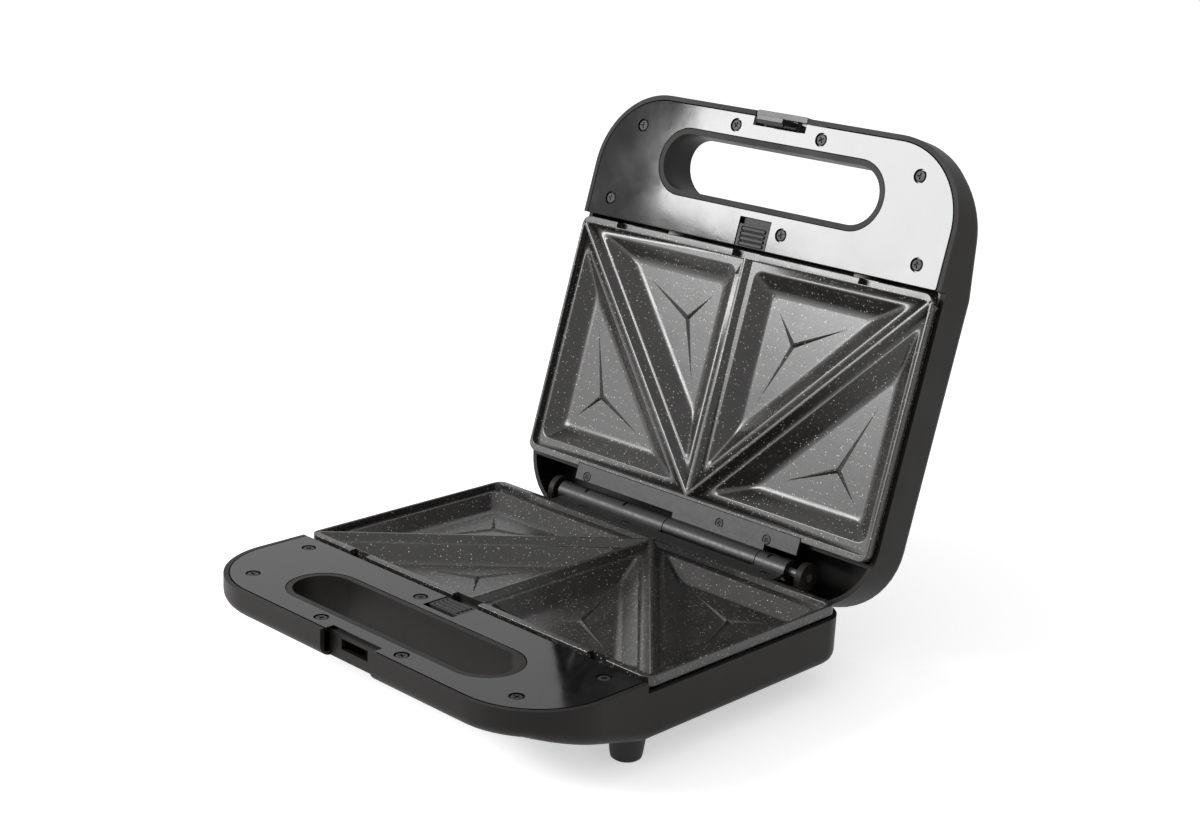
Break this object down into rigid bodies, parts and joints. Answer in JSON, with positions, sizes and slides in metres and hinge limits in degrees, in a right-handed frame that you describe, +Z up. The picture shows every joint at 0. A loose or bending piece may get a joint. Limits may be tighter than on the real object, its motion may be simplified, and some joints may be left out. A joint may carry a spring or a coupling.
{
  "type": "sandwich toaster",
  "caption": "Hinged sandwich toaster shown open, with handle loops, removable non-stick plates with triangular pockets, release buttons and a hooked latch.",
  "frame": {"origin": "on the ground plane under the middle of the open toaster", "axes": "+X to the right seen from the handle, +Y from the handle towards the hinge, +Z up; the rest pose has the lid open"},
  "size_m": [0.228, 0.2884, 0.2473],
  "materials": {
    "housing_black": "moulded shell with a fine matt grain",
    "cover_gloss": "mirror-smooth black",
    "screw_black": "blackened steel, cross-head",
    "plate_coating": "die cast, under a dark non-stick coating with pale flecks",
    "screw_zinc": "zinc plated",
    "reflector_steel": "folded aluminised sheet",
    "element_steel": "tubular sheath, dulled by heat",
    "ceramic": "fired ceramic, unglazed, with a steel stud",
    "button_grey": "dark grey, ribbed for the thumb",
    "spring_steel": "drawn wire",
    "hinge_black": "dark painted steel",
    "thermostat_body": "drawn cup",
    "fuse_body": "small sealed can with leads",
    "terminal_plastic": "pale moulded block",
    "gland_rubber": "soft black",
    "wire_insulation": "woven glass sleeve",
    "foot_rubber": "soft black",
    "lens_red": "clear tinted",
    "lens_green": "clear tinted",
    "neon_glass": "small clear bulbs",
    "latch_grey": "dark grey moulding",
    "pin_steel": "bright drawn pin"
  },
  "bodies": {
    "base": {"base_housing": "housing_black", "base_handle_cover": "cover_gloss", "base_cover_screws": "screw_black", "base_plate": "plate_coating", "base_reflector_tray": "reflector_steel", "base_tray_screws": "screw_zinc", "base_heating_element": "element_steel", "base_element_clips": "reflector_steel", "base_element_terminals": "ceramic", "base_release_spring": "spring_steel", "base_hinge_leaf": "hinge_black", "base_hinge_screws": "screw_black", "base_thermostat": "thermostat_body", "thermal_fuse": "fuse_body", "terminal_block": "terminal_plastic", "cord_gland": "gland_rubber", "base_wiring": "wire_insulation", "foot_front_left": "foot_rubber", "foot_front_right": "foot_rubber", "foot_rear_left": "foot_rubber", "foot_rear_right": "foot_rubber", "foot_screws": "screw_zinc", "hinge_pin": "pin_steel"},
    "lid": {"lid_housing": "housing_black", "lid_handle_cover": "cover_gloss", "lid_cover_screws": "screw_black", "lid_plate": "plate_coating", "lid_reflector_tray": "reflector_steel", "lid_tray_screws": "screw_zinc", "lid_heating_element": "element_steel", "lid_element_clips": "reflector_steel", "lid_element_terminals": "ceramic", "lid_release_spring": "spring_steel", "lid_hinge_leaf": "hinge_black", "lid_hinge_screws": "screw_black", "lid_thermostat": "thermostat_body", "lid_wiring": "wire_insulation", "lamp_lens_red": "lens_red", "lamp_lens_green": "lens_green", "indicator_lamps": "neon_glass", "latch_pin": "pin_steel", "latch_spring": "spring_steel"},
    "latch": {"latch_lever": "latch_grey"},
    "base_button": {"base_release_button": "button_grey"},
    "lid_button": {"lid_release_button": "button_grey"}
  },
  "joints": [
    {"name": "lid_hinge", "type": "hinge", "parent": "base", "child": "lid", "pos_m": [0, 0.06884, 0.0425], "axis": [1, 0, 0], "range_deg": [0, 106]},
    {"name": "latch_turn", "type": "hinge", "parent": "lid", "child": "latch", "pos_m": [0, 0.13189, 0.2406], "axis": [-1, 0, 0], "range_deg": [0, 12], "stiffness_Nm_per_rad": 0.02, "springref_deg": -17.19, "deforming": ["latch_spring"]},
    {"name": "base_button_slide", "type": "slide", "parent": "base", "child": "base_button", "axis": [0, -1, 0], "range_m": [0, 0.0032], "stiffness_N_per_m": 250, "springref_m": -0.002, "deforming": ["base_release_spring"]},
    {"name": "lid_button_slide", "type": "slide", "parent": "lid", "child": "lid_button", "axis": [0, 0.2756, 0.9613], "range_m": [0, 0.0032], "stiffness_N_per_m": 250, "springref_m": -0.002, "deforming": ["lid_release_spring"]}
  ]
}
